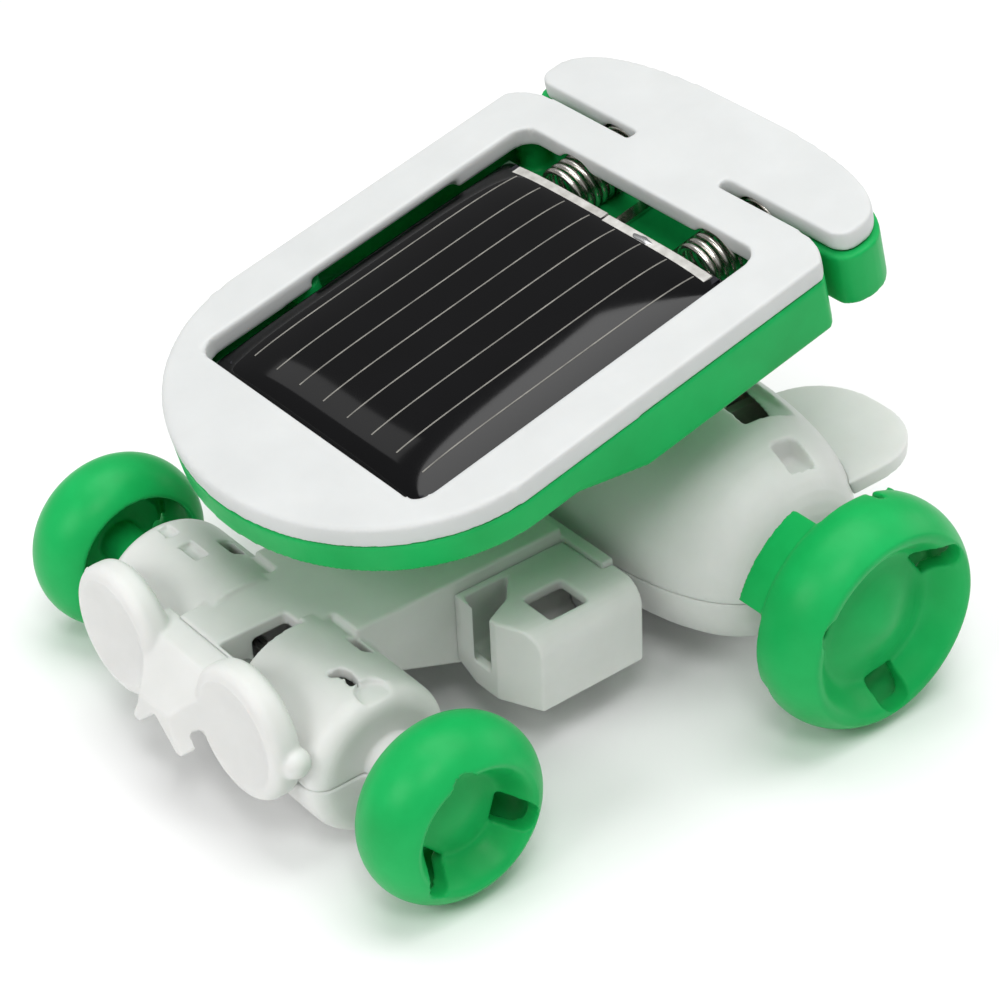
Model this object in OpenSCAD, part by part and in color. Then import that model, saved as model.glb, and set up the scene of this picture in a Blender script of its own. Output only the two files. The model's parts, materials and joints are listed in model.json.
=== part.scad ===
// Solar toy car from a pocket robotics kit: a tilted solar module on a gearbox with two
// driven rear wheels and a front axle, all parts separate. Millimetres, +Z up, -Y forward.
// The origin lies on the ground under the middle of the car's outline box.

/* [Car] */
// Distance between the two axles
wheelbase = 48.55; // [47:0.05:52]
// Y position of the front axle
front_axle_y = -27.5; // [-28:0.1:-27]
// Overall length from the nose skirt to the tail fin tips
overall_l = 84; // [83:0.1:89]
// Radius of both steel axles
axle_r = 1; // [0.8:0.05:1]
// Radial running clearance of a shaft in its hole
run_fit = 0.05; // [0.03:0.01:0.08]

/* [Front wheels] */
// Tread radius of a front wheel
front_wheel_r = 10; // [9.5:0.1:10.5]
// Width of a front wheel
front_wheel_w = 9.2; // [8.5:0.1:9.6]
// X position of a front wheel's outer face
front_face_x = 34; // [33.5:0.1:35]
// Drop of the tread from its crown to the wheel's face
front_crown = 2.65; // [2:0.05:3]

/* [Rear wheels] */
// Tread radius of a rear wheel
rear_wheel_r = 12.9; // [12.5:0.1:13.2]
// Width of a rear wheel's tread arc
rear_wheel_w = 9.7; // [9.4:0.1:10]
// X position of a rear wheel's outer face
rear_face_x = 40.4; // [40:0.1:41]
// Drop of the tread from its crown to the wheel's face
rear_crown = 2.05; // [1.6:0.05:2.4]
// Width of the rim before its inner tabs begin
rear_rim_w = 7.1; // [6.8:0.1:7.4]
// Length of the rim's inner tabs
rear_tab_l = 3.6; // [2:0.1:3.8]

/* [Solar module] */
// Pitch of the module, rear end up
module_tilt = 13.2; // [12:0.1:14]
// Height of the module's top face at its middle
module_z = 41.8; // [41:0.1:44]
// Half of the module's width
module_half_w = 24.8; // [24.4:0.1:25.5]
// Thickness of the white top frame
plate_t = 2.4; // [2:0.1:2.6]
// Depth of the green shell at the rear
shell_deep = 6.2; // [5.8:0.1:6.6]
// Depth of the green shell at the front
shell_shallow = 3.3; // [3.2:0.1:3.6]
// Wall thickness of the green shell
shell_wall = 1.3; // [1:0.1:1.5]
// Half of the window's width
window_half_w = 18.5; // [18:0.1:18.8]
// Number of silver grid lines on the cell
finger_count = 8; // [4:1:10]

/* [Gearbox] */
// Radius of the gearbox barrel
barrel_r = 13.9; // [13.7:0.1:14]
// Half of the barrel's length across the car
barrel_half_l = 29; // [28.6:0.1:29.2]
// Wall thickness of the gearbox shells
barrel_wall = 1.4; // [1.2:0.1:1.5]

/* [Hidden] */
$fn = 64;
eps = 0.01;
big = 100;
half_l = overall_l / 2;

// ---- axles ----
rear_axle_y = front_axle_y + wheelbase;
front_axle_z = front_wheel_r;
rear_axle_z = rear_wheel_r;
front_lip_r = front_wheel_r - front_crown - 0.25;
rear_lip_r = rear_wheel_r - rear_crown - 0.45;
bush_r = 2.1;
bush_flange_r = 2.7;

// ---- module, in its own tilted frame: x across, y towards the rear, z up from the top face ----
module_y = -1.3;
nose_y0 = -11.8;
nose_l = 20.2;
main_rear_y = 28.8;
tail_front_y = 30.1;
shell_tail_lead = 0.7;
tail_rear_y = 39.8;
tail_half_w = 24;
neck_half_w = 7;
window_front_y = -20.7;
window_rear_y = 23.9;
deep_from_y = 1.6;
shallow_from_y = -7;
shell_floor = 1.2;
shell_bottom = -plate_t - shell_deep;
pocket_bottom = shell_bottom + shell_floor;
spring_x = 10.8;
spring_axis_h = -4.7;
spring_r = 2.8;
spring_wire = 0.8;
spring_front_y = 21.6;
spring_rear_y = 35.4;
spring_turns = 9;
screw_v = [-6, 25.8];
module_screw_x = 21;

// ---- solar cell ----
cell_half_w = 18;
cell_front_y = -20.1;
cell_rear_y = 20.6;
board_bottom = -4.4;
board_top = -2.6;
wafer_top = -2.1;
wafer_half_w = 16.2;
wafer_front_y = -18.9;
wafer_rear_y = 20.2;
finger_w = 0.25;
finger_t = 0.08;
finger_pitch = 4.03;
finger_front_y = -16.9;
bus_front_y = 18.6;
bus_rear_y = 20;
bus_t = 0.35;
bus_split = [-0.7, -0.3];
resin_top = -0.75;
resin_crown_x = 125;
resin_crown_y = 290;

// ---- gearbox ----
barrel_y = 20.3;
barrel_z = 15.1;
barrel_power = 3.06;
barrel_steps = 36;
boss_r = 3.3;
boss_end_x = 29.3;
motor_axis = [20.3, 21.9];
tooth_m = 0.5;
pinion_teeth = 8;
idler_big_teeth = 20;
idler_small_teeth = 8;
axle_gear_teeth = 24;
axle_axis = [rear_axle_y, rear_axle_z];
motor_reach = (pinion_teeth + idler_big_teeth) * tooth_m / 2;
axle_reach = (idler_small_teeth + axle_gear_teeth) * tooth_m / 2;
axis_gap = norm(motor_axis - axle_axis);
axis_dir = (motor_axis - axle_axis) / axis_gap;
along_gap = (axle_reach * axle_reach - motor_reach * motor_reach + axis_gap * axis_gap) / (2 * axis_gap);
aside_gap = sqrt(axle_reach * axle_reach - along_gap * along_gap);
idler_axis = axle_axis + along_gap * axis_dir + aside_gap * [-axis_dir[1], axis_dir[0]];
motor_r = 5.2;
motor_x0 = -11;
motor_x1 = 1.2;
shaft_r = 0.75;
plate_x = [1.3, 10.3];
plate_th = 1.1;
plate_r = 11.8;
plate_foot_z = 6.5;
big_gear_x = 3.4;
big_gear_w = 2.2;
small_gear_x = 5.6;
small_gear_w = 3.2;
axle_gear_x = 6;
axle_gear_w = 2.4;
pin_r = 0.75;
gearbox_screw_x = 19;
gearbox_screw_dy = 6.5;
screw_shank_r = 0.7;
screw_head_r = 1.4;
screw_head_h = 0.9;

// ---- chassis ----
lobe_r = 8.3;
lobe_y = -28.2;
lobe_z = 9.8;
lobe_inner_x = 5;
lobe_outer_x = 20;
lobe_fillet = 2.2;
lobe_wall = 1.4;
lobe_boss_x = 22.6;
cover_screw_at = [[2.6, -32.2], [0, -23.2]];
cover_screw_l = 10;
beam_half_w = 9;
beam_top = 17.3;
beam_wall = 1.6;
flange_y = 5;
flange_half_w = 15.6;
flange_z = [6, 16.3];
socket_rear_y = 4.8;
disc_x = 10.9;
disc_z = 13.8;
disc_r = 7.3;
disc_y = -39.6;
disc_t = 3.6;
fin_z = 19;
fin_t = 2;
fin_x = 16.6;
fin_half_w = 9;

// ---- helpers ----
// Points on an elliptical arc, from angle a0 to a1 in n steps
function arc(cx, cy, rx, ry, a0, a1, n) =
    [for (i = [0:n]) let (a = a0 + (a1 - a0) * i / n) [cx + rx * cos(a), cy + ry * sin(a)]];

// Points on a super-ellipse arc of the given power
function super_arc(cx, cy, rx, ry, p, a0, a1, n) =
    [for (i = [0:n]) let (a = a0 + (a1 - a0) * i / n)
        [cx + rx * sign(cos(a)) * pow(abs(cos(a)), 2 / p),
         cy + ry * sign(sin(a)) * pow(abs(sin(a)), 2 / p)]];

// Rectangle between two corners with rounded corners
module rounded_rect(a, b, r) {
    translate([a[0] + r, a[1]]) square([b[0] - a[0] - 2 * r, b[1] - a[1]]);
    translate([a[0], a[1] + r]) square([b[0] - a[0], b[1] - a[1] - 2 * r]);
    for (x = [a[0] + r, b[0] - r], y = [a[1] + r, b[1] - r]) translate([x, y]) circle(r);
}

// Block between two corners
module block(a, b) {
    translate(a) cube(b - a);
}

// Turns local x, y, z into world Y, Z, X, starting at the given x and axis
module along_x(x, axis) {
    translate([x, axis[0], axis[1]]) rotate([90, 0, 90]) children();
}

// Cylinder along X
module rod(x0, x1, axis, r) {
    along_x(x0, axis) cylinder(h = x1 - x0, r = r);
}

// Tube along X
module tube(x0, x1, axis, r, bore) {
    difference() {
        rod(x0, x1, axis, r);
        rod(x0 - 1, x1 + 1, axis, bore);
    }
}

module both_sides() {
    children();
    mirror([1, 0, 0]) children();
}

// Countersunk-size pan head screw, head down, with its head's underside at the origin
module screw(l) {
    difference() {
        union() {
            translate([0, 0, -screw_head_h]) cylinder(h = screw_head_h, r = screw_head_r);
            cylinder(h = l, r = screw_shank_r);
        }
        for (a = [0, 90]) rotate(a)
            translate([-screw_head_r / 2, -0.15, -screw_head_h - eps])
                cube([screw_head_r, 0.3, 0.4]);
    }
}

// ---- solar module ----
module in_module() {
    translate([0, module_y, module_z]) rotate([module_tilt, 0, 0]) children();
}

// Outline of the module's main part, drawn in by the given inset
module main_outline(inset) {
    w = module_half_w - inset;
    rear = main_rear_y - inset;
    sweep = [6.35, 4.8];
    cut = 30;
    cx = w - sweep[0] * cos(cut);
    polygon(concat(
        arc(0, nose_y0, w, nose_l - inset, 180, 360, 48),
        arc(cx, rear - sweep[1], sweep[0], sweep[1], cut, 90, 8),
        arc(-cx, rear - sweep[1], sweep[0], sweep[1], 90, 180 - cut, 8)
    ));
}

// Outline of the tail piece, drawn in by the given inset and with its front edge led forward
module tail_outline(inset, lead) {
    w = tail_half_w + lead - inset;
    front = tail_front_y - lead + inset;
    mid = tail_front_y + 2.2;
    corner = 2.2 - inset / 2;
    polygon(concat(
        super_arc(0, mid, w, tail_rear_y - inset - mid, 2.5, 0, 180, 36),
        arc(corner - w, mid, corner, mid - front, 180, 270, 6),
        arc(w - corner, mid, corner, mid - front, 270, 360, 6)
    ));
}

module neck_outline(inset) {
    w = neck_half_w - inset;
    translate([-w, main_rear_y - 3]) square([2 * w, tail_front_y - main_rear_y + 6]);
}

module module_outline(inset, lead = 0) {
    main_outline(inset);
    tail_outline(inset, lead);
    neck_outline(inset);
}

module spring_channels(r) {
    for (s = [-1, 1])
        translate([s * spring_x, spring_front_y - 0.6, spring_axis_h]) rotate([-90, 0, 0])
            cylinder(h = spring_rear_y - spring_front_y + 1.2, r = r);
}

module top_frame() color("white") in_module() difference() {
    translate([0, 0, -plate_t]) linear_extrude(plate_t) module_outline(0);
    translate([0, 0, -plate_t - 1]) linear_extrude(plate_t + 2)
        rounded_rect([-window_half_w, window_front_y], [window_half_w, window_rear_y], 2);
    spring_channels(spring_r + 0.7);
    module_screw_places() translate([0, 0, -plate_t - 1]) cylinder(h = plate_t + 0.4, r = screw_shank_r);
    for (s = [-1, 1])
        translate([s * window_half_w, 4, -plate_t]) cube([2.4, 20, 2.2], center = true);
}

// Side view of the space under the shallow front part of the shell
module shallow_cut(rise) {
    rotate([90, 0, 90]) translate([0, 0, -big / 2]) linear_extrude(big) polygon([
        [-big, shell_bottom + shell_deep - shell_shallow + rise],
        [shallow_from_y, shell_bottom + shell_deep - shell_shallow + rise],
        [deep_from_y, shell_bottom + rise],
        [big, shell_bottom + rise],
        [big, -big],
        [-big, -big]
    ]);
}

module module_screw_places() {
    for (s = [-1, 1], v = screw_v) translate([s * module_screw_x, v, 0]) children();
}

module lower_shell() color("green") in_module() difference() {
    union() {
        difference() {
            translate([0, 0, shell_bottom]) linear_extrude(shell_deep) module_outline(0, shell_tail_lead);
            difference() {
                translate([0, 0, shell_bottom]) linear_extrude(shell_deep + 1)
                    module_outline(shell_wall, shell_tail_lead);
                shallow_cut(shell_floor);
            }
        }
        module_screw_places() translate([0, 0, shell_bottom + 0.5])
            cylinder(h = shell_deep - 0.5, r = 1.9);
        translate([-cell_half_w, cell_front_y, shell_bottom + 1])
            linear_extrude(board_bottom - shell_bottom - 1) cell_ribs();
    }
    shallow_cut(0);
    spring_channels(spring_r + 0.5);
    module_screw_places() {
        translate([0, 0, -big / 2]) cylinder(h = big, r = screw_shank_r);
        translate([0, 0, shell_bottom - 1]) cylinder(h = 2.6 + shell_deep - shell_shallow, r = screw_head_r + 0.1);
    }
    leg_slots(0.1);
}

// Ribs inside the shell that carry the cell
module cell_ribs() {
    for (x = [3, 2 * cell_half_w - 4.2])
        translate([x, 0]) square([1.2, cell_rear_y - cell_front_y]);
    for (y = [6, 16, 26, 36])
        translate([2, y]) square([2 * cell_half_w - 4, 1.2]);
}

module cell_board() color("darkgreen") in_module()
    block([-cell_half_w, cell_front_y, board_bottom], [cell_half_w, cell_rear_y, board_top]);

module wafer_block() {
    block([-wafer_half_w, wafer_front_y, board_top], [wafer_half_w, wafer_rear_y, wafer_top]);
}

module silicon_wafer() color("black") in_module() wafer_block();

module finger_blocks() {
    for (i = [0:finger_count - 1]) {
        x = (i - (finger_count - 1) / 2) * finger_pitch;
        block([x - finger_w / 2, finger_front_y, wafer_top], [x + finger_w / 2, bus_front_y, wafer_top + finger_t]);
    }
}

module cell_fingers() color("silver") in_module() finger_blocks();

module bus_blocks() {
    x_end = 15.4;
    block([-x_end, bus_front_y, wafer_top], [bus_split[0], bus_rear_y, wafer_top + bus_t]);
    block([bus_split[1], bus_front_y, wafer_top], [x_end, bus_rear_y, wafer_top + bus_t]);
}

module cell_bus_bars() color("gainsboro") in_module() bus_blocks();

module cell_resin() color([0.05, 0.05, 0.06]) in_module() {
    mid = (cell_front_y + cell_rear_y) / 2;
    difference() {
        intersection() {
            block([0.1 - cell_half_w, cell_front_y + 0.1, board_top],
                  [cell_half_w - 0.1, cell_rear_y - 0.1, resin_top]);
            translate([0, -big / 2, resin_top - resin_crown_x]) rotate([-90, 0, 0])
                cylinder(h = big, r = resin_crown_x, $fn = 200);
            translate([-big / 2, mid, resin_top - resin_crown_y]) rotate([0, 90, 0])
                cylinder(h = big, r = resin_crown_y, $fn = 200);
        }
        wafer_block();
        finger_blocks();
        bus_blocks();
    }
}

// Coil of round wire along +Y, swept ring by ring
module coil(turns, r, wire, l, per_turn, sides) {
    rings = turns * per_turn;
    points = [for (i = [0:rings], j = [0:sides - 1])
        let (a = 360 * i / per_turn, b = 360 * j / sides, rr = r + wire / 2 * cos(b))
        [rr * cos(a), l * i / rings + wire / 2 * sin(b), rr * sin(a)]];
    walls = [for (i = [0:rings - 1], j = [0:sides - 1])
        let (k = (j + 1) % sides)
        [i * sides + j, i * sides + k, (i + 1) * sides + k, (i + 1) * sides + j]];
    ends = [[for (j = [0:sides - 1]) sides - 1 - j], [for (j = [0:sides - 1]) rings * sides + j]];
    polyhedron(points, concat(walls, ends), convexity = 10);
}

module contact_spring(side) color("silver") in_module()
    translate([side * spring_x, spring_front_y, spring_axis_h])
        coil(spring_turns, spring_r, spring_wire, spring_rear_y - spring_front_y, 12, 6);

module contact_spring_left() contact_spring(1);
module contact_spring_right() contact_spring(-1);

leg_x = [-4.6, 4.6];
leg_half_w = 0.8;
leg_t = 0.4;
leg_y = 22.4;
leg_bottom = -22.4;
strip_h = pocket_bottom + 0.1;
strip_y = spring_rear_y + 0.45;

// Slots that let the contact legs through
module leg_slots(gap) {
    for (x = leg_x)
        block([x - leg_half_w - gap, leg_y - gap, leg_bottom - 1],
              [x + leg_half_w + gap, leg_y + leg_t + gap, pocket_bottom + 1]);
}

module contact_strips() color("goldenrod") in_module()
    for (s = [-1, 1]) {
        x_plate = s * spring_x;
        x_leg = s * leg_x[1];
        block([x_plate - 3, strip_y, strip_h], [x_plate + 3, strip_y + leg_t, -2.6]);
        block([min(x_plate, x_leg) - leg_half_w, strip_y, strip_h],
              [max(x_plate, x_leg) + leg_half_w, strip_y + 1.4, strip_h + leg_t]);
        block([x_leg - leg_half_w, leg_y, strip_h], [x_leg + leg_half_w, strip_y + 1, strip_h + leg_t]);
        block([x_leg - leg_half_w, leg_y, leg_bottom], [x_leg + leg_half_w, leg_y + leg_t, strip_h + leg_t]);
    }

module module_screws() color("silver") in_module() {
    screw_seat = shell_bottom + 1.6 + shell_deep - shell_shallow;
    module_screw_places() translate([0, 0, screw_seat]) screw(-screw_seat - 0.6);
}

// White pillar between the gearbox and the module
module module_post() color("whitesmoke") difference() {
    in_module() difference() {
        translate([0, 0, -big / 2 + 30]) linear_extrude(big / 2 - 30 + shell_bottom)
            rounded_rect([-7.5, 14.5], [7.5, 24.5], 2);
        leg_slots(0.1);
    }
    barrel(barrel_r, barrel_half_l);
}

// ---- gearbox ----
// Barrel across the car, solid
module barrel(r, half) {
    along_x(0, [barrel_y, barrel_z]) rotate_extrude($fn = 96)
        polygon(concat([[0, -half]],
            [for (p = super_arc(0, 0, half, r, barrel_power, 180, 0, barrel_steps)) [max(p[1], 0), p[0]]]));
}

module barrel_shell() {
    difference() {
        union() {
            barrel(barrel_r, barrel_half_l);
            both_sides() rod(20, boss_end_x, axle_axis, boss_r);
        }
        barrel(barrel_r - barrel_wall, barrel_half_l - barrel_wall);
    }
}

module gearbox_screw_places() {
    for (x = [-1, 1], y = [-1, 1])
        translate([x * gearbox_screw_x, barrel_y + y * gearbox_screw_dy, 0]) children();
}

module gearbox_upper() color("whitesmoke") difference() {
    union() {
        barrel_shell();
        intersection() {
            barrel(barrel_r - 0.5, barrel_half_l);
            union() {
                gearbox_screw_places() cylinder(h = barrel_z + 11, r = 2);
                // floor of the blind recess
                block([21, 19.6, 21.5], [26.2, 24.8, 26]);
            }
        }
    }
    block([-big, -big, -big], [big, big, rear_axle_z]);
    both_sides() rod(15, big, axle_axis, bush_r);
    gearbox_screw_places() cylinder(h = barrel_z + 2, r = screw_shank_r);
    block([11.5, 20.2, 25.6], [18.6, 27.6, 40]);
    block([22, 20.5, 23.4], [25.4, 24, 40]);
    in_module() leg_slots(0.1);
    fin_roots();
}

module gearbox_lower() color("whitesmoke") difference() {
    union() {
        barrel_shell();
        intersection() {
            barrel(barrel_r - 0.5, barrel_half_l);
            union() {
                gearbox_screw_places() cylinder(h = barrel_z, r = 2);
                for (x = plate_x)
                    block([x - 0.7, barrel_y - 6, 0], [x + plate_th + 0.7, barrel_y + 6, plate_foot_z + 1.2]);
                block([-8.4, 4, 6], [1.2, 10.5, rear_axle_z]);
            }
        }
    }
    block([-big, -big, rear_axle_z], [big, big, big]);
    both_sides() rod(15, big, axle_axis, bush_r);
    for (x = plate_x)
        block([x, barrel_y - 7, plate_foot_z], [x + plate_th, barrel_y + 7, plate_foot_z + 3]);
    rod(axle_gear_x - 0.6, axle_gear_x + axle_gear_w + 0.6, axle_axis, axle_gear_teeth * tooth_m / 2 + 1);
    gearbox_screw_places() {
        cylinder(h = barrel_z, r = screw_shank_r);
        translate([0, 0, -1]) cylinder(h = 9, r = screw_head_r + 0.1);
    }
    tongue();
}

module gearbox_screws() color("silver")
    gearbox_screw_places() translate([0, 0, 8]) screw(9);

// Roots of the tail fins, which plug into the upper shell
module fin_roots() {
    both_sides() block([fin_x - 5, barrel_y + 6, fin_z - fin_t / 2], [fin_x + 5, barrel_y + 16, fin_z + fin_t / 2]);
}

module tail_fin_left() color("white") {
    difference() {
        translate([fin_x, 0, fin_z - fin_t / 2]) linear_extrude(fin_t) union() {
            polygon(concat([[-fin_half_w, 27]],
                super_arc(0, 33, fin_half_w, half_l - 33, 2.3, 180, 0, 32),
                [[fin_half_w, 27]]));
        }
        barrel(barrel_r, barrel_half_l);
    }
    intersection() {
        block([fin_x - 5, barrel_y + 6, fin_z - fin_t / 2], [fin_x + 5, barrel_y + 16, fin_z + fin_t / 2]);
        difference() {
            barrel(barrel_r + 0.2, barrel_half_l);
            barrel(barrel_r - barrel_wall, barrel_half_l - barrel_wall);
        }
    }
}

module tail_fin_right() mirror([1, 0, 0]) tail_fin_left();

module gear_plate(x) {
    difference() {
        rod(x, x + plate_th, [barrel_y, barrel_z], plate_r);
        block([-big, -big, -big], [big, big, plate_foot_z]);
        rod(0, big, axle_axis, axle_r + 0.4);
        rod(0, big, idler_axis, pin_r);
        rod(-1, big, motor_axis, 2.2);
        block([-big, motor_axis[0] + 4, motor_axis[1] + 1.5], [big, big, big]);
    }
}

module gear_plate_inner() color("white") gear_plate(plate_x[0]);
module gear_plate_outer() color("white") gear_plate(plate_x[1]);

module idler_pin() color("silver")
    rod(plate_x[0], plate_x[1] + plate_th, idler_axis, pin_r);

// Flat gear along X: straight-sided teeth with backlash, first tooth at the given angle
module gear(x, w, axis, teeth, first, bore) {
    pitch_r = teeth * tooth_m / 2;
    root_r = pitch_r - 0.55;
    tip_r = pitch_r + 0.42;
    step = 360 / teeth;
    along_x(x, axis) linear_extrude(w) difference() {
        polygon([for (i = [0:teeth - 1], k = [[-0.30, root_r], [-0.21, pitch_r], [-0.09, tip_r],
                                             [0.09, tip_r], [0.21, pitch_r], [0.30, root_r]])
            let (a = first + (i + k[0]) * step) [k[1] * cos(a), k[1] * sin(a)]]);
        if (bore > 0) circle(bore);
    }
}

function heading(from, to) = atan2(to[1] - from[1], to[0] - from[0]);
to_axle = heading(idler_axis, axle_axis);
to_motor = heading(idler_axis, motor_axis);

module compound_gear() color("ivory") {
    gear(big_gear_x, big_gear_w, idler_axis, idler_big_teeth, to_motor, pin_r + run_fit);
    gear(small_gear_x, small_gear_w, idler_axis, idler_small_teeth, to_axle, pin_r + run_fit);
}

module axle_gear() color("ivory")
    gear(axle_gear_x, axle_gear_w, axle_axis, axle_gear_teeth,
         to_axle + 180 + 180 / axle_gear_teeth, axle_r);

module pinion() color("ivory")
    gear(big_gear_x - 0.2, big_gear_w + 0.4, motor_axis, pinion_teeth,
         to_motor + 180 + 180 / pinion_teeth, shaft_r);

// ---- motor ----
module motor_can() color("silver") difference() {
    rod(motor_x0, motor_x1, motor_axis, motor_r);
    rod(motor_x0 - 1, motor_x1 - 0.6, motor_axis, motor_r - 0.5);
    rod(0, 3, motor_axis, shaft_r + run_fit);
}

module motor_end_cap() color("white") difference() {
    union() {
        rod(motor_x0 - 1.4, motor_x0, motor_axis, motor_r);
        rod(motor_x0, motor_x0 + 0.8, motor_axis, motor_r - 0.5);
    }
    rod(motor_x0 - 2, motor_x0 + 1, motor_axis, shaft_r + run_fit);
    for (s = [-1, 1])
        block([motor_x0 - 2, motor_axis[0] + s * 2.8 - 0.6, motor_axis[1] + 1.4],
              [motor_x0 + 2, motor_axis[0] + s * 2.8 + 0.6, motor_axis[1] + 1.8]);
}

module motor_magnets() color("dimgray") for (s = [-1, 1]) difference() {
    tube(motor_x0 + 2.4, motor_x1 - 1.4, motor_axis, motor_r - 0.5, 3.75);
    if (s > 0) block([-big, -big, -big], [big, motor_axis[0] + 2.2, big]);
    else block([-big, motor_axis[0] - 2.2, -big], [big, big, big]);
}

module motor_brushes() color("goldenrod") for (s = [-1, 1]) {
    y = motor_axis[0] + s * 2.8;
    block([motor_x0 - 2.6, y - 0.6, motor_axis[1] + 1.4], [motor_x0 + 1.2, y + 0.6, motor_axis[1] + 1.8]);
    block([motor_x0 + 0.8, min(motor_axis[0] + s * 1.35, y), motor_axis[1] + 1.4],
          [motor_x0 + 1.2, max(motor_axis[0] + s * 1.35, y), motor_axis[1] + 1.8]);
    block([motor_x0 + 0.8, motor_axis[0] + s * 1.45 - 0.12, motor_axis[1] - 1.2],
          [motor_x0 + 1.2, motor_axis[0] + s * 1.45 + 0.12, motor_axis[1] + 1.8]);
}

// Stamped strips from the contact legs' tips to the motor's terminals
module motor_leads() color("goldenrod") {
    tip_y = 25.3;
    tag_y = motor_axis[0] + 2.8;
    tag_z = motor_axis[1] + 1.8;
    // from the left leg, behind the right one, to the rear terminal
    block([leg_x[1] - leg_half_w, tip_y, 24.7], [leg_x[1] + leg_half_w, tip_y + 1.5, 25.1]);
    block([-14.1, tip_y + 1.1, 24.3], [leg_x[1] + leg_half_w, tip_y + 1.5, 25.1]);
    block([-14.1, tag_y - 0.4, 24.3], [-13.7, tip_y + 1.5, 25.1]);
    block([-14.1, tag_y - 0.4, tag_z], [-13.4, tag_y + 0.4, 24.7]);
    // from the right leg to the front terminal
    block([-13.2, tip_y - 0.1, 25.3], [leg_x[0] + leg_half_w, tip_y + 0.6, 25.7]);
    block([-13.4, motor_axis[0] - 3.2, 25.3], [-12.8, tip_y + 0.6, 25.7]);
    block([-13.4, motor_axis[0] - 3.2, tag_z], [-12.8, motor_axis[0] - 2.4, 25.7]);
}

module motor_shaft() color("silver")
    rod(motor_x0 - 1.9, big_gear_x + big_gear_w + 0.6, motor_axis, shaft_r);

module armature_core() color("gray") difference() {
    rod(-7.6, -1.8, motor_axis, 3.45);
    rod(-9, 0, motor_axis, shaft_r);
    along_x(-9, motor_axis) for (a = [30, 150, 270]) rotate(a)
        translate([1.7, -0.55]) cube([4, 1.1, 10]);
}

module armature_windings() color("chocolate") along_x(-8.3, motor_axis) for (a = [90, 210, 330]) rotate(a)
    for (z = [0, 6.5]) translate([1.1, -1.7, z]) cube([1.9, 3.4, 0.7]);

module commutator() color("goldenrod") tube(-10.1, -8.4, motor_axis, 1.25, shaft_r);

// ---- wheels and axles ----
// Half profile of a wheel's rim: a crowned ring open on its inner side
module rim_profile(r, w, crown, depth, wall, lip_r) {
    arc_r = (w * w / 4 + crown * crown) / (2 * crown);
    arc_c = r - arc_r;
    intersection() {
        translate([lip_r, -depth]) square([r, depth]);
        difference() {
            translate([arc_c, -w / 2]) circle(arc_r, $fn = 96);
            translate([arc_c, -w / 2]) circle(arc_r - wall, $fn = 96);
        }
    }
}

// Soft step from 0 to 1
function ease(t) = t * t * (3 - 2 * t);

// Half profile of a wheel's face: a low dome, a dish round it and a soft lip
module face_profile(lip_r, valley_r, valley_d, dome_d, web) {
    steps = 8;
    polygon(concat(
        [for (i = [0 : steps]) [valley_r * i / steps, -dome_d - (valley_d - dome_d) * ease(i / steps)]],
        [for (i = [1 : steps]) [valley_r + (lip_r - valley_r) * i / steps, -valley_d * (1 - ease(i / steps))]],
        [[lip_r + 0.6, -1.6], [valley_r + 0.9, -valley_d - web], [0, -valley_d - web]]
    ));
}

// Three slots through the face
module face_openings(r0, r1, w, first) {
    for (a = [0, 120, 240]) rotate(first + a) translate([0, 0, -8]) linear_extrude(9) {
        translate([r0, -w / 2]) square([r1 - r0 - w / 2, w]);
        translate([r1 - w / 2, 0]) circle(w / 2);
    }
}

module front_wheel() along_x(front_face_x, [front_axle_y, front_axle_z]) difference() {
    union() {
        rotate_extrude($fn = 96) {
            rim_profile(front_wheel_r, front_wheel_w, front_crown, front_wheel_w, 1.3, front_lip_r);
            face_profile(front_lip_r, 4.4, 3.3, 2.7, 1.3);
        }
        translate([0, 0, -10.6]) cylinder(h = 7.1, r = 2.4);
    }
    translate([0, 0, -12]) cylinder(h = 8.2, r = axle_r);
    face_openings(4.3, 7.6, 3.2, 102);
}

module front_wheel_left() color("limegreen") front_wheel();
module front_wheel_right() color("limegreen") mirror([1, 0, 0]) front_wheel();

tab_angles = [136, 16, -94];
tab_span = 52;

module rear_wheel() along_x(rear_face_x, axle_axis) difference() {
    union() {
        rotate_extrude($fn = 96) {
            rim_profile(rear_wheel_r, rear_wheel_w, rear_crown, rear_rim_w, 1.4, rear_lip_r);
            face_profile(rear_lip_r, 7.1, 2.9, 1.1, 1.4);
        }
        for (a = tab_angles) rotate(a - tab_span / 2)
            translate([0, 0, -rear_rim_w - rear_tab_l]) rotate_extrude(angle = tab_span, $fn = 96)
                translate([11.1, 0]) square([1.15, rear_tab_l + 0.6]);
        translate([0, 0, -10.4]) cylinder(h = 6.4, r = 2.6);
    }
    translate([0, 0, -12]) cylinder(h = 8, r = axle_r);
    face_openings(6.9, 10.8, 3.8, 36);
    rotate(78) translate([10, -0.5, -rear_rim_w - 1]) cube([4, 1, 3]);
    rotate(200) translate([0, 0, -rear_rim_w - 1]) rotate_extrude(angle = 30, $fn = 96)
        translate([10, 0]) square([4, 2.2]);
}

module rear_wheel_left() color("limegreen") rear_wheel();
module rear_wheel_right() color("limegreen") mirror([1, 0, 0]) rear_wheel();

module bush(x0, x1, axis) {
    tube(x0, x1, axis, bush_r, axle_r + run_fit);
    tube(x1, x1 + 0.4, axis, bush_flange_r, axle_r + run_fit);
}

module rear_bushes() color("khaki") both_sides() bush(25.4, boss_end_x, axle_axis);
module front_bushes() color("khaki") both_sides()
    bush(lobe_outer_x - 1.4, lobe_boss_x, [front_axle_y, front_axle_z]);

module rear_axle() color("silver") rod(-36.2, 36.2, axle_axis, axle_r);
module front_axle() color("silver")
    rod(-30, 30, [front_axle_y, front_axle_z], axle_r);

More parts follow.
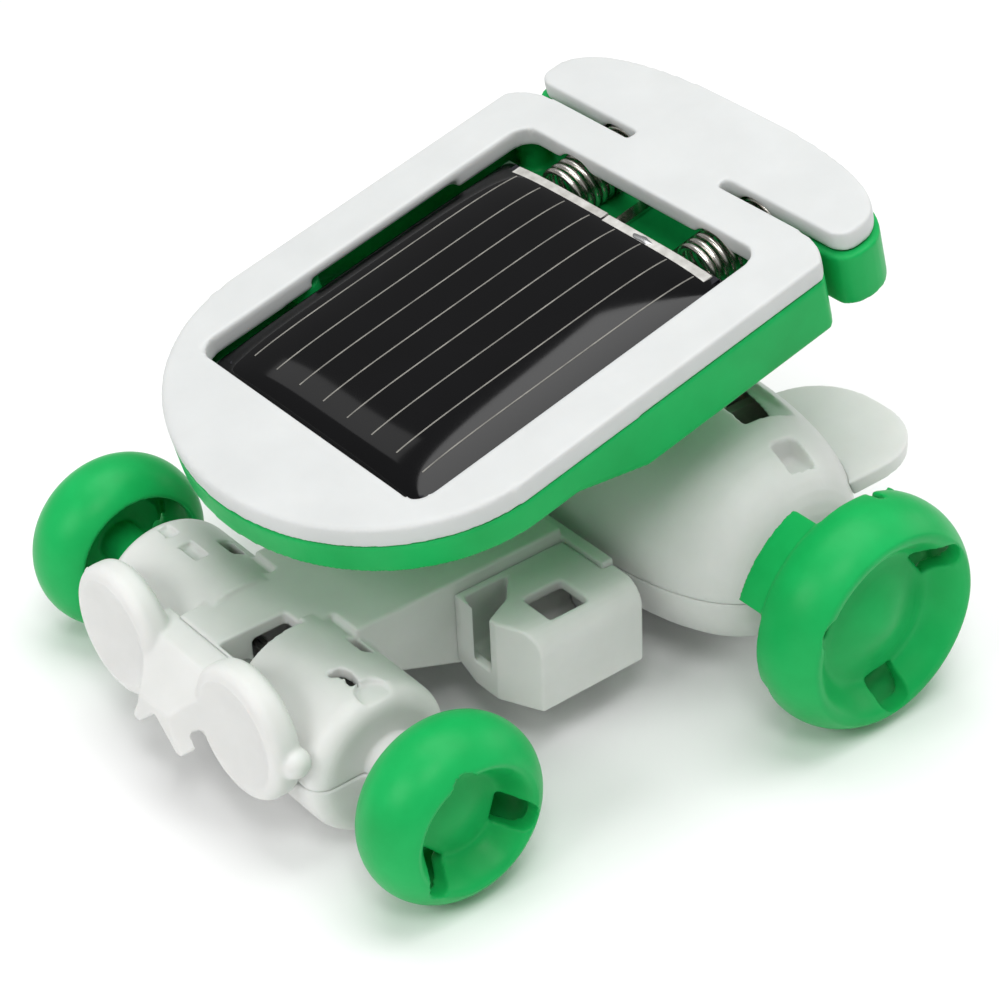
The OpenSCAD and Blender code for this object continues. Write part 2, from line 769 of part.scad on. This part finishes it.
// ---- chassis ----
// Barrel-shaped housing on each side of the front axle
module lobe(r, x0, x1, fillet) {
    along_x(x0, [lobe_y, lobe_z]) rotate_extrude($fn = 96)
        polygon(concat([[0, 0], [r, 0]],
            arc(r - fillet, x1 - x0 - fillet, fillet, fillet, 0, 90, 8),
            [[0, x1 - x0]]));
}

module front_housing() {
    difference() {
        union() {
            both_sides() lobe(lobe_r, lobe_inner_x - 1, lobe_outer_x, lobe_fillet);
            both_sides() rod(lobe_outer_x - 1, lobe_boss_x, [front_axle_y, front_axle_z], 3.1);
            block([-lobe_inner_x, -35, 3], [lobe_inner_x, -20, beam_top]);
        }
        both_sides() lobe(lobe_r - lobe_wall, lobe_inner_x + 1.4, lobe_outer_x - lobe_wall, 1);
        block([-lobe_inner_x + 1.6, -33.4, 0], [lobe_inner_x - 1.6, -21.6, beam_top - 1.6]);
        both_sides() rod(0, 18.7, [front_axle_y, front_axle_z], axle_r + 0.6);
        both_sides() rod(18, big, [front_axle_y, front_axle_z], bush_r);
    }
}

// Side profile of the beam behind the front housing
module beam_side(inset) {
    rotate([90, 0, 90]) linear_extrude(2 * (beam_half_w - inset), center = true) polygon([
        [-23, 10.1 - 3 * sign(inset)],
        [-19.7, 10.1 - 3 * sign(inset)],
        [-10, 6.5 - 3 * sign(inset)],
        [flange_y - 1.5, 6.5 - 3 * sign(inset)],
        [flange_y - 1.5, beam_top - inset],
        [-23, beam_top - inset]
    ]);
}

module tongue() {
    block([-7, flange_y - 1, 8], [0.7, 10.5, rear_axle_z]);
}

module chassis_beam() color("whitesmoke") {
    difference() {
        union() {
            difference() {
                front_housing();
                block([-big, -big, -big], [big, big, front_axle_z]);
            }
            difference() {
                beam_side(0);
                lobe_space();
            }
            block([-flange_half_w, flange_y - 1.5, flange_z[0]], [flange_half_w, flange_y, flange_z[1]]);
            for (at = cover_screw_at) translate([at[0], at[1], front_axle_z])
                cylinder(h = beam_top - front_axle_z - 1, r = 1.9);
        }
        beam_side(beam_wall);
        for (at = cover_screw_at) translate([at[0], at[1], 0])
            cylinder(h = 4.3 + cover_screw_l, r = screw_shank_r);
        block([1.6, -34.6, beam_top - 4], [5, -26.6, beam_top + 4]);
        block([9, -24.5, 14], [12, -23, 19]);
        mirror([1, 0, 0]) block([10, -25, 14], [13, -23.4, 19]);
        // bent slot and round dimple on the left lobe
        translate([0, 0, lobe_z]) linear_extrude(big) polygon([
            [13.3, -29.8], [13.6, -28.2], [14.8, -27.9], [16.5, -28.2], [16.6, -29.3],
            [15.3, -29], [14.4, -29.2], [14.1, -29.8]
        ]);
        translate([18.4, -27.9, 17.3]) cylinder(h = big, r = 1.8);
        // square dimples on the right lobe
        block([-14, -29, 17.4], [-10.8, -27.4, big]);
        block([-18, -29, 17.6], [-16, -27.6, big]);
    }
    tongue();
}

// Room inside the lobes, kept free of the beam
module lobe_space() {
    both_sides() lobe(lobe_r - lobe_wall, lobe_inner_x + 1.4, lobe_outer_x - lobe_wall, 1);
}

module front_axle_cover() color("whitesmoke") difference() {
    union() {
        intersection() {
            front_housing();
            block([-big, -big, -big], [big, big, front_axle_z]);
        }
        for (at = cover_screw_at) translate([at[0], at[1], 3]) cylinder(h = front_axle_z - 3, r = 1.9);
    }
    for (at = cover_screw_at) translate([at[0], at[1], 0]) {
        cylinder(h = 20, r = screw_shank_r);
        cylinder(h = 4.2, r = screw_head_r + 0.1);
    }
}

module cover_screws() color("silver")
    for (at = cover_screw_at) translate([at[0], at[1], 4.2]) screw(cover_screw_l);

// Disc on the nose with a rounded rim, standing upright across the car
module nose_disc() {
    edge = 1.3;
    translate([disc_x, disc_y, disc_z]) rotate([-90, 0, 0]) rotate_extrude()
        polygon(concat(
            [[0, 0]],
            arc(disc_r - edge, edge, edge, edge, -90, 0, 6),
            arc(disc_r - edge, disc_t - edge, edge, edge, 0, 90, 6),
            [[0, disc_t]]
        ));
}

// Hood between the discs, with two pointed teeth below its front edge
module nose_hood() {
    rotate([90, 0, 90]) linear_extrude(14, center = true) polygon([
        [-34.8, beam_top],
        [-37.8, beam_top - 0.6],
        [1.2 - half_l, 13.6],
        [-half_l, 12.4],
        [-half_l, 11.2],
        [1.4 - half_l, 10.6],
        [disc_y + 1, 12],
        [-34.8, 13.5]
    ]);
    translate([0, 1.4 - half_l, 0]) rotate([90, 0, 0]) linear_extrude(1.4) polygon([
        [-7.8, 12.4], [-7.8, 11.6], [-4.1, 8.2], [-3.4, 8.2], [0, 11.2],
        [3.4, 8.2], [4.1, 8.2], [7.8, 11.6], [7.8, 12.4]
    ]);
}

module front_fairing() color("whitesmoke") difference() {
    union() {
        both_sides() nose_disc();
        both_sides() translate([disc_x + 7, disc_y + 2.4, disc_z - 0.2]) sphere(1.6);
        nose_hood();
        block([-disc_x, disc_y + 1.2, 9], [disc_x, disc_y + disc_t, 15]);
    }
    both_sides() translate([disc_x, disc_y - 8.6, disc_z]) sphere(10.4);
    lobes_clear();
}

module lobes_clear() {
    both_sides() lobe(lobe_r, lobe_inner_x - 1, lobe_outer_x, lobe_fillet);
    block([-lobe_inner_x, -35, 0], [lobe_inner_x, -20, big]);
}

module socket_left() color("whitesmoke") difference() {
    socket_solid(0);
    socket_solid(1.3);
    block([14.2, -6.1, 10], [18.5, -1, 30]);
    translate([0, 0, 9]) linear_extrude(20)
        polygon([[9.9, -4.5], [9.9, -10.2], [15, -11.6], [13, -7.2]]);
    block([-big, flange_y - 1.5, -big], [flange_half_w, big, big]);
}

// Socket box as a solid drawn in by the given inset
module socket_solid(inset) {
    x1 = 20.4 - inset;
    z1 = 15.8 - inset;
    round_r = 2.8 - inset / 2;
    intersection() {
        rotate([90, 0, 0]) translate([0, 0, inset - socket_rear_y]) linear_extrude(16.4 - 2 * inset)
            polygon(concat(
                [[beam_half_w + inset, 7.5 + inset], [12.2 + inset / 2, 6 + inset], [x1, 6 + inset]],
                arc(x1 - round_r, z1 - round_r, round_r, round_r, 0, 90, 8),
                [[beam_half_w + inset, z1]]
            ));
        linear_extrude(30) polygon([
            [0, inset - 10.8], [15.7 - inset / 2, inset - 10.8], [20.4 - inset, inset / 2 - 8.6],
            [20.4 - inset, 10], [0, 10]
        ]);
    }
}

module socket_right() mirror([1, 0, 0]) socket_left();

top_frame();
lower_shell();
cell_board();
silicon_wafer();
cell_fingers();
cell_bus_bars();
cell_resin();
contact_spring_left();
contact_spring_right();
contact_strips();
module_screws();
module_post();
chassis_beam();
front_axle_cover();
cover_screws();
front_fairing();
socket_left();
socket_right();
gearbox_upper();
gearbox_lower();
gearbox_screws();
tail_fin_left();
tail_fin_right();
gear_plate_inner();
gear_plate_outer();
idler_pin();
motor_can();
motor_end_cap();
motor_magnets();
motor_brushes();
motor_leads();
motor_shaft();
armature_core();
armature_windings();
commutator();
pinion();
compound_gear();
rear_bushes();
rear_axle();
axle_gear();
rear_wheel_left();
rear_wheel_right();
front_bushes();
front_axle();
front_wheel_left();
front_wheel_right();
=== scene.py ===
import json
import math

import bmesh
import bpy
from mathutils import Matrix, Vector


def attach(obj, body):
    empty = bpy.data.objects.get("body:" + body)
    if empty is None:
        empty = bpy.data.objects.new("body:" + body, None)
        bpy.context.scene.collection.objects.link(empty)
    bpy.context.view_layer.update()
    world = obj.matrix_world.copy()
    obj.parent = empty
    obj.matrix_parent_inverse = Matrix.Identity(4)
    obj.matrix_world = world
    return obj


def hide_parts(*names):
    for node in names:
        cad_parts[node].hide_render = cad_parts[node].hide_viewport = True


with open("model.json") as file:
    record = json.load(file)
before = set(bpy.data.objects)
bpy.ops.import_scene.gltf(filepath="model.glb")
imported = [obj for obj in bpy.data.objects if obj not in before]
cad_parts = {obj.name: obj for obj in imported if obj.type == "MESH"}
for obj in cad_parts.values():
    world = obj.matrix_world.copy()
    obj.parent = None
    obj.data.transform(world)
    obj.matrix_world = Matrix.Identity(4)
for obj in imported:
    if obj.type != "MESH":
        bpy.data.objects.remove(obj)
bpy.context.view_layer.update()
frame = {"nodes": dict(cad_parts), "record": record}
MM = 0.001
nodes = frame["nodes"]

# ---------------------------------------------------------------- materials


def new_material(name):
    """An empty node material with a Principled shader."""
    mat = bpy.data.materials.new(name)
    mat.use_nodes = True
    tree = mat.node_tree
    tree.nodes.clear()
    out = tree.nodes.new("ShaderNodeOutputMaterial")
    shader = tree.nodes.new("ShaderNodeBsdfPrincipled")
    tree.links.new(shader.outputs["BSDF"], out.inputs["Surface"])
    return mat, tree, shader


def add_noise(tree, coords, scale, detail=4.0, rough=0.55):
    noise = tree.nodes.new("ShaderNodeTexNoise")
    noise.inputs["Scale"].default_value = scale
    noise.inputs["Detail"].default_value = detail
    noise.inputs["Roughness"].default_value = rough
    tree.links.new(coords, noise.inputs["Vector"])
    return noise.outputs["Fac"]


def add_ramp(tree, fac, stops):
    """Colour ramp from a list of (position, colour)."""
    ramp = tree.nodes.new("ShaderNodeValToRGB")
    elements = ramp.color_ramp.elements
    while len(elements) < len(stops):
        elements.new(0.5)
    for element, (pos, col) in zip(elements, stops):
        element.position = pos
        element.color = (*col, 1.0)
    tree.links.new(fac, ramp.inputs["Fac"])
    return ramp.outputs["Color"]


def add_range(tree, fac, low, high):
    """Maps 0..1 to low..high."""
    node = tree.nodes.new("ShaderNodeMapRange")
    node.inputs["To Min"].default_value = low
    node.inputs["To Max"].default_value = high
    tree.links.new(fac, node.inputs["Value"])
    return node.outputs["Result"]


def add_bump(tree, shader, height, strength, distance):
    bump = tree.nodes.new("ShaderNodeBump")
    bump.inputs["Strength"].default_value = strength
    bump.inputs["Distance"].default_value = distance
    tree.links.new(height, bump.inputs["Height"])
    tree.links.new(bump.outputs["Normal"], shader.inputs["Normal"])


def object_coords(tree):
    return tree.nodes.new("ShaderNodeTexCoord").outputs["Object"]


def plastic(name, dark, light, rough, gloss=0.5, subsurface=0.0, grain=0.02, flow_scale=130.0):
    """Moulded plastic: faint flow marks in the colour, uneven gloss and a fine surface grain."""
    mat, tree, shader = new_material(name)
    coords = object_coords(tree)
    flow = add_noise(tree, coords, flow_scale, 5.0)
    tree.links.new(add_ramp(tree, flow, [(0.3, dark), (0.7, light)]), shader.inputs["Base Color"])
    patch = add_noise(tree, coords, flow_scale * 3, 3.0)
    tree.links.new(add_range(tree, patch, rough * 0.8, rough * 1.25), shader.inputs["Roughness"])
    fine = add_noise(tree, coords, 1800.0, 2.0)
    add_bump(tree, shader, fine, grain, 0.0002)
    shader.inputs["IOR"].default_value = 1.5
    shader.inputs["Specular IOR Level"].default_value = gloss
    shader.inputs["Subsurface Weight"].default_value = subsurface
    shader.inputs["Subsurface Radius"].default_value = (1.0, 0.9, 0.8)
    shader.inputs["Subsurface Scale"].default_value = 0.0015
    return mat


def metal(name, dark, light, rough, scale=900.0, stretch=(1, 1, 1), grain=0.05):
    """Bare metal with fine drawn or blotched marks."""
    mat, tree, shader = new_material(name)
    mapping = tree.nodes.new("ShaderNodeMapping")
    mapping.inputs["Scale"].default_value = stretch
    tree.links.new(object_coords(tree), mapping.inputs["Vector"])
    marks = add_noise(tree, mapping.outputs["Vector"], scale, 4.0)
    tree.links.new(add_ramp(tree, marks, [(0.3, dark), (0.7, light)]), shader.inputs["Base Color"])
    tree.links.new(add_range(tree, marks, rough * 0.7, rough * 1.3), shader.inputs["Roughness"])
    add_bump(tree, shader, marks, grain, 0.00005)
    shader.inputs["Metallic"].default_value = 1.0
    return mat


white = plastic("white_plastic", (0.72, 0.725, 0.705), (0.78, 0.78, 0.765), 0.38,
                gloss=0.3, subsurface=0.3)
# The frame's white is the same plastic made darker: painted shade that tones down its top, which the
# key light strikes most squarely.
frame_white_painted_shade = plastic("frame_white_painted_shade", (0.62, 0.635, 0.63), (0.66, 0.675, 0.67), 0.42,
                      gloss=0.3, subsurface=0.25)
green = plastic("green_plastic", (0.008, 0.38, 0.085), (0.012, 0.46, 0.110), 0.36,
                gloss=0.16, grain=0.03)
gear_plastic = plastic("gear_plastic", (0.62, 0.61, 0.54), (0.70, 0.69, 0.62), 0.4)
board = plastic("cell_board", (0.012, 0.035, 0.02), (0.02, 0.06, 0.03), 0.45)
silicon = plastic("silicon", (0.004, 0.004, 0.008), (0.010, 0.009, 0.016), 0.2)
resin = plastic("clear_resin", (0.0008, 0.0008, 0.0012), (0.0016, 0.0016, 0.0022), 0.07,
                gloss=0.3, grain=0.0)
finger_print = plastic("finger_print", (0.16, 0.155, 0.14), (0.30, 0.29, 0.26), 0.3,
                       gloss=0.4, flow_scale=600.0)
silver = plastic("silver_print", (0.38, 0.37, 0.34), (0.64, 0.63, 0.60), 0.35,
                 gloss=0.7, grain=0.2, flow_scale=700.0)
nickel = metal("nickel", (0.58, 0.55, 0.50), (0.78, 0.76, 0.71), 0.24)
steel = metal("steel", (0.42, 0.42, 0.43), (0.58, 0.58, 0.58), 0.28, stretch=(0.05, 1, 1))
iron = metal("iron", (0.05, 0.05, 0.055), (0.10, 0.10, 0.105), 0.5)
copper = metal("copper", (0.50, 0.27, 0.11), (0.66, 0.40, 0.18), 0.3)

SLOT_MATERIALS = {
    "white_plastic": white,
    "green_plastic": green,
    "gear_plastic": gear_plastic,
    "cell_board": board,
    "silicon": silicon,
    "clear_resin": resin,
    "silver_print": silver,
    "nickel": nickel,
    "steel": steel,
    "iron": iron,
    "copper": copper,
}

for part in frame["record"]["subparts"]:
    obj = nodes[part["node"]]
    mat = SLOT_MATERIALS[part["material_slot"]]
    # The top frame takes the darker copy of the white, painted shade for its brightly lit top.
    if part["node"] == "top_frame":
        mat = frame_white_painted_shade
    obj.data.materials.clear()
    obj.data.materials.append(mat)

# ---------------------------------------------------------------- moulded parts

MODULE_Y, MODULE_Z = -1.3, 41.8
MODULE_TILT = math.radians(13.2)
module_frame = Matrix.Translation((0, MODULE_Y, MODULE_Z)) @ Matrix.Rotation(MODULE_TILT, 4, "X")
to_metres = Matrix.Scale(MM, 4)


def add_object(name, mesh, mat, body, slot_name, *replaced):
    """Links a mesh in millimetres as a finished piece in metres."""
    mesh.transform(to_metres)
    mesh.materials.clear()
    mesh.materials.append(mat)
    obj = bpy.data.objects.new(name, mesh)
    bpy.context.scene.collection.objects.link(obj)
    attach(obj, body)
    if replaced:
        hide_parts(*replaced)
    return obj


def evaluated(mesh, modifiers):
    """Applies (type, settings) modifiers to a mesh and returns the result."""
    holder = bpy.data.objects.new("holder", mesh)
    bpy.context.scene.collection.objects.link(holder)
    for kind, settings in modifiers:
        mod = holder.modifiers.new(kind, kind)
        for key, value in settings.items():
            setattr(mod, key, value)
    graph = bpy.context.evaluated_depsgraph_get()
    result = bpy.data.meshes.new_from_object(holder.evaluated_get(graph), depsgraph=graph)
    bpy.data.objects.remove(holder)
    return result


def node_mesh(node):
    """A CAD node's mesh in millimetres, with its seams joined."""
    mesh = nodes[node].data.copy()
    mesh.transform(Matrix.Scale(1 / MM, 4))
    joined = bmesh.new()
    joined.from_mesh(mesh)
    bmesh.ops.remove_doubles(joined, verts=joined.verts, dist=0.002)
    joined.to_mesh(mesh)
    joined.free()
    return mesh


LARGE_KEEP = 0.3                    # share of the faces kept on a large piece
FLAT_ANGLE = math.radians(1.2)      # faces closer than this are merged on a small piece


def soften(mesh, voxel, rounds, large):
    """Rounds every edge a little, as a mould does, and keeps flat faces flat."""
    if large:
        thin = ("DECIMATE", {"decimate_type": "COLLAPSE", "ratio": LARGE_KEEP,
                             "use_collapse_triangulate": True})
    else:
        thin = ("DECIMATE", {"decimate_type": "DISSOLVE", "angle_limit": FLAT_ANGLE})
    return evaluated(mesh, [
        ("REMESH", {"mode": "VOXEL", "voxel_size": voxel, "use_smooth_shade": True}),
        ("SMOOTH", {"factor": 0.5, "iterations": rounds}),
        thin,
        ("TRIANGULATE", {}),
        ("WEIGHTED_NORMAL", {"mode": "FACE_AREA", "weight": 50}),
    ])


def moulded(node, mat, body, slot_name, voxel, rounds, tilted=False):
    """Replaces a CAD node by the same shape with softened edges; the module's are tilted."""
    mesh = node_mesh(node)
    if tilted:
        mesh.transform(module_frame.inverted())
    mesh = soften(mesh, voxel, rounds, tilted)
    if tilted:
        mesh.transform(module_frame)
    return add_object(node + "_moulded", mesh, mat, body, slot_name, node)


moulded("top_frame", frame_white_painted_shade, "chassis", "white_plastic", 0.24, 14, tilted=True)
moulded("lower_shell", green, "chassis", "green_plastic", 0.28, 6, tilted=True)
for name in ("socket_left", "socket_right", "front_fairing", "chassis_beam"):
    moulded(name, white, "chassis", "white_plastic", 0.22, 3)
for name in ("front_axle_cover", "gearbox_upper", "gearbox_lower", "tail_fin_left", "tail_fin_right"):
    moulded(name, white, "chassis", "white_plastic", 0.28, 2)
for name in ("front_wheel_left", "front_wheel_right"):
    moulded(name, green, "front_axle_set", "green_plastic", 0.2, 3)
for name in ("rear_wheel_left", "rear_wheel_right"):
    moulded(name, green, "rear_axle_set", "green_plastic", 0.22, 3)

# ---------------------------------------------------------------- solar cell

# CELL_W reaches past the cell's own edge, so the resin's near-black also covers the gap between cell
# and frame wall as painted shade.
CELL_W, CELL_V0, CELL_V1 = 18.0, -20.0, 20.6
CELL_EDGE, CELL_CROWN = -2.6, -0.75
CELL_CORNER = 1.2
CROWN_DROP, CROWN_POWER = (0.58, 0.45), (4.3, 4.5)     # across, along
LIP_POWER = (26, 22)
ROWS, COLUMNS = 72, 64


def cell_height(u, v):
    """Height of the resin's skin: a low crown that rolls off at its four edges."""
    middle, half = (CELL_V0 + CELL_V1) / 2, (CELL_V1 - CELL_V0) / 2
    s = min(abs(u) / CELL_W, 1.0)
    t = min(abs(v - middle) / half, 1.0)
    crown = 1 - CROWN_DROP[0] * s ** CROWN_POWER[0] - CROWN_DROP[1] * t ** CROWN_POWER[1]
    lip = math.sqrt(1 - s ** LIP_POWER[0]) * math.sqrt(1 - t ** LIP_POWER[1])
    return CELL_EDGE + (CELL_CROWN - CELL_EDGE) * crown * lip


def eased(count):
    """Steps from -1 to 1, closer together towards both ends."""
    return [math.sin(math.pi / 2 * (2 * i / count - 1)) for i in range(count + 1)]


def resin_mesh():
    built = bmesh.new()
    middle, half = (CELL_V0 + CELL_V1) / 2, (CELL_V1 - CELL_V0) / 2
    rows = []
    for b in eased(ROWS):
        v = middle + half * b
        side = max(0.0, abs(v - middle) - (half - CELL_CORNER))
        w = CELL_W - CELL_CORNER + math.sqrt(max(CELL_CORNER * CELL_CORNER - side * side, 0.0))
        rows.append([built.verts.new((w * a, v, cell_height(CELL_W * a, v))) for a in eased(COLUMNS)])
    for low, high in zip(rows, rows[1:]):
        for i in range(len(low) - 1):
            built.faces.new((low[i], low[i + 1], high[i + 1], high[i]))
    rim = rows[0] + [r[-1] for r in rows[1:]] + rows[-1][-2::-1] + [r[0] for r in rows[-2:0:-1]]
    foot = [built.verts.new((q.co.x, q.co.y, CELL_EDGE)) for q in rim]
    for i in range(len(rim)):
        j = (i + 1) % len(rim)
        built.faces.new((rim[j], rim[i], foot[i], foot[j]))
    built.faces.new(foot[::-1])
    bmesh.ops.recalc_face_normals(built, faces=built.faces)
    mesh = bpy.data.meshes.new("resin")
    built.to_mesh(mesh)
    built.free()
    for poly in mesh.polygons:
        poly.use_smooth = len(poly.vertices) == 4
    mesh.transform(module_frame)
    return mesh


add_object("cell_resin_dome", resin_mesh(), resin, "chassis", "clear_resin", "cell_resin")


def ribbon(built, u, half_w, v0, v1, steps, rise):
    """A printed line that lies in the resin's skin."""
    previous = None
    for i in range(steps + 1):
        v = v0 + (v1 - v0) * i / steps
        ring = [
            built.verts.new((u + side * half_w, v, cell_height(u, v) + up))
            for side, up in ((-1, -0.05), (1, -0.05), (1, rise), (-1, rise))
        ]
        if previous:
            for k in range(4):
                built.faces.new((previous[k], previous[(k + 1) % 4], ring[(k + 1) % 4], ring[k]))
        else:
            built.faces.new(ring)
        previous = ring
    built.faces.new(previous[::-1])


FINGERS, PITCH, LINE_HALF_W = 8, 4.03, 0.085
LINE_V0, LINE_V1, LINE_STEPS, LINE_RISE = -16.9, 18.7, 60, 0.012
built = bmesh.new()
for i in range(FINGERS):
    u = (i - (FINGERS - 1) / 2) * PITCH
    ribbon(built, u, LINE_HALF_W, LINE_V0, LINE_V1, LINE_STEPS, LINE_RISE)
bmesh.ops.recalc_face_normals(built, faces=built.faces)
mesh = bpy.data.meshes.new("fingers")
built.to_mesh(mesh)
built.free()
mesh.transform(module_frame)
add_object("cell_finger_lines", mesh, finger_print, "chassis", "silver_print", "cell_fingers")

# Bus bars: two flat strips that follow the resin, each swept across the cell
BUS_SPANS = ((-15.4, -0.75, 18.75), (-0.35, 15.4, 18.6))      # from u, to u, front edge v
BUS_SECTION = ((0.0, -0.2), (0.0, 0.05), (0.12, 0.1), (1.28, 0.1), (1.4, 0.05), (1.4, -0.2))
BUS_MIDDLE, BUS_STEPS = 0.7, 40
built = bmesh.new()
for u0, u1, v0 in BUS_SPANS:
    previous = None
    for i in range(BUS_STEPS + 1):
        u = u0 + (u1 - u0) * i / BUS_STEPS
        ring = []
        for dv, up in BUS_SECTION:
            ring.append(built.verts.new((u, v0 + dv, cell_height(u, v0 + BUS_MIDDLE) + up)))
        if previous:
            for k in range(len(ring)):
                n = (k + 1) % len(ring)
                built.faces.new((previous[k], previous[n], ring[n], ring[k]))
        else:
            built.faces.new(ring)
        previous = ring
    built.faces.new(previous[::-1])
bmesh.ops.recalc_face_normals(built, faces=built.faces)
mesh = bpy.data.meshes.new("bus_bars")
built.to_mesh(mesh)
built.free()
mesh.transform(module_frame)
add_object("cell_bus_strips", mesh, silver, "chassis", "silver_print", "cell_bus_bars")

# Solder pad: a low, uneven oval blob on the left strip
PAD_U, PAD_V, PAD_LIFT = 5.6, 19.35, 0.08
PAD_HALF = (1.5, 0.42, 0.16)
PAD_WAVE, PAD_TURN = 0.12, (6.3, 1.7)
built = bmesh.new()
bmesh.ops.create_uvsphere(built, u_segments=28, v_segments=14, radius=1.0)
pad_height = cell_height(PAD_U, PAD_V) + PAD_LIFT
for q in built.verts:
    wave = 1 + PAD_WAVE * math.sin(PAD_TURN[0] * q.co.x + PAD_TURN[1] * q.co.y)
    q.co = Vector((PAD_U + PAD_HALF[0] * wave * q.co.x, PAD_V + PAD_HALF[1] * wave * q.co.y,
                   pad_height + PAD_HALF[2] * q.co.z))
mesh = bpy.data.meshes.new("solder_pad")
built.to_mesh(mesh)
built.free()
for poly in mesh.polygons:
    poly.use_smooth = True
mesh.transform(module_frame)
add_object("cell_solder_pad", mesh, steel, "chassis", "silver_print")

# ---------------------------------------------------------------- contact springs

SPRING_X, SPRING_H, SPRING_R, SPRING_WIRE = 10.8, -4.7, 2.85, 0.36
SPRING_V0, SPRING_V1, SPRING_TURNS = 21.6, 35.4, 13
DEAD_PITCH = 0.7                    # advance per turn in the half turn at each end


def spring_mesh(side):
    """A close-wound coil with a dead half turn at each end."""
    built = bmesh.new()
    per_turn, around = 36, 10
    previous = None
    total = (SPRING_TURNS + 1) * per_turn
    for i in range(total + 1):
        turn = i / per_turn
        live = min(max(turn - 0.5, 0.0), SPRING_TURNS) / SPRING_TURNS
        dead = (min(turn, 0.5) + max(turn - SPRING_TURNS - 0.5, 0.0)) * DEAD_PITCH
        v = SPRING_V0 + dead + live * (SPRING_V1 - SPRING_V0 - DEAD_PITCH)
        a = 2 * math.pi * turn
        ring = []
        for k in range(around):
            b = 2 * math.pi * k / around
            r = SPRING_R + SPRING_WIRE * math.cos(b)
            ring.append(built.verts.new((
                side * (SPRING_X + r * math.cos(a)),
                v + SPRING_WIRE * math.sin(b),
                SPRING_H + r * math.sin(a),
            )))
        if previous:
            for k in range(around):
                n = (k + 1) % around
                built.faces.new((previous[k], previous[n], ring[n], ring[k]))
        else:
            built.faces.new(ring)
        previous = ring
    built.faces.new(previous[::-1])
    bmesh.ops.recalc_face_normals(built, faces=built.faces)
    mesh = bpy.data.meshes.new("spring")
    built.to_mesh(mesh)
    built.free()
    for poly in mesh.polygons:
        poly.use_smooth = True
    mesh.transform(module_frame)
    return mesh


add_object("spring_left_coil", spring_mesh(1), nickel, "chassis", "nickel", "contact_spring_left")
add_object("spring_right_coil", spring_mesh(-1), nickel, "chassis", "nickel", "contact_spring_right")

# ---------------------------------------------------------------- stage, lights, camera

floor_mesh = bpy.data.meshes.new("floor")
bm = bmesh.new()
bmesh.ops.create_grid(bm, x_segments=2, y_segments=2, size=3.0)
bm.to_mesh(floor_mesh)
bm.free()
floor = bpy.data.objects.new("floor", floor_mesh)
bpy.context.scene.collection.objects.link(floor)
mat, tree, shader = new_material("floor_paper")
paper = add_noise(tree, object_coords(tree), 40.0)
paper_colour = add_ramp(tree, paper, [(0.3, (0.96, 0.96, 0.96)), (0.7, (0.98, 0.98, 0.98))])
tree.links.new(paper_colour, shader.inputs["Base Color"])
shader.inputs["Roughness"].default_value = 0.8
shader.inputs["Specular IOR Level"].default_value = 0.1
floor.data.materials.append(mat)

world = bpy.data.worlds.new("studio")
bpy.context.scene.world = world
world.use_nodes = True
backdrop = world.node_tree.nodes["Background"]
backdrop.inputs["Color"].default_value = (1.0, 1.0, 1.0, 1.0)
backdrop.inputs["Strength"].default_value = 0.30
bpy.context.scene.view_settings.view_transform = "Standard"


def area_light(name, at, aim, size, watts):
    data = bpy.data.lights.new(name, "AREA")
    data.shape = "RECTANGLE"
    data.size, data.size_y = size
    data.energy = watts
    light = bpy.data.objects.new(name, data)
    light.location = at
    light.rotation_mode = "QUATERNION"
    light.rotation_quaternion = (Vector(aim) - Vector(at)).to_track_quat("-Z", "Y")
    bpy.context.scene.collection.objects.link(light)


area_light("key", (-0.02, 0.07, 0.52), (0, 0, 0.02), (0.56, 0.34), 1.85)
area_light("side", (0.26, -0.18, 0.50), (0, 0, 0.02), (0.16, 0.16), 0.7)
area_light("front", (0.02, -0.46, 0.34), (0, 0, 0.02), (0.3, 0.2), 0.9)
area_light("back", (0.15, 0.60, 0.30), (0, 0, 0.03), (0.4, 0.3), 0.8)
area_light("card", (-0.45, -0.02, 0.50), (0, -0.015, 0.04), (0.12, 0.16), 0.05)

CAMERA_AT = Vector((205.027, -152.525, 195.424)) * MM
CAMERA_RIGHT = Vector((0.62304, 0.78129, -0.03743))
CAMERA_UP = Vector((-0.42761, 0.38028, 0.82008))
camera_data = bpy.data.cameras.new("camera")
camera_data.lens = 106.3
camera_data.sensor_width = 36.0
camera = bpy.data.objects.new("camera", camera_data)
back = CAMERA_RIGHT.cross(CAMERA_UP).normalized()
turn = Matrix((CAMERA_RIGHT, CAMERA_UP, back)).transposed()
camera.rotation_mode = "QUATERNION"
camera.rotation_quaternion = turn.to_quaternion()
camera.location = CAMERA_AT
camera_data.clip_start, camera_data.clip_end = 0.01, 10.0
bpy.context.scene.collection.objects.link(camera)
bpy.context.scene.camera = camera
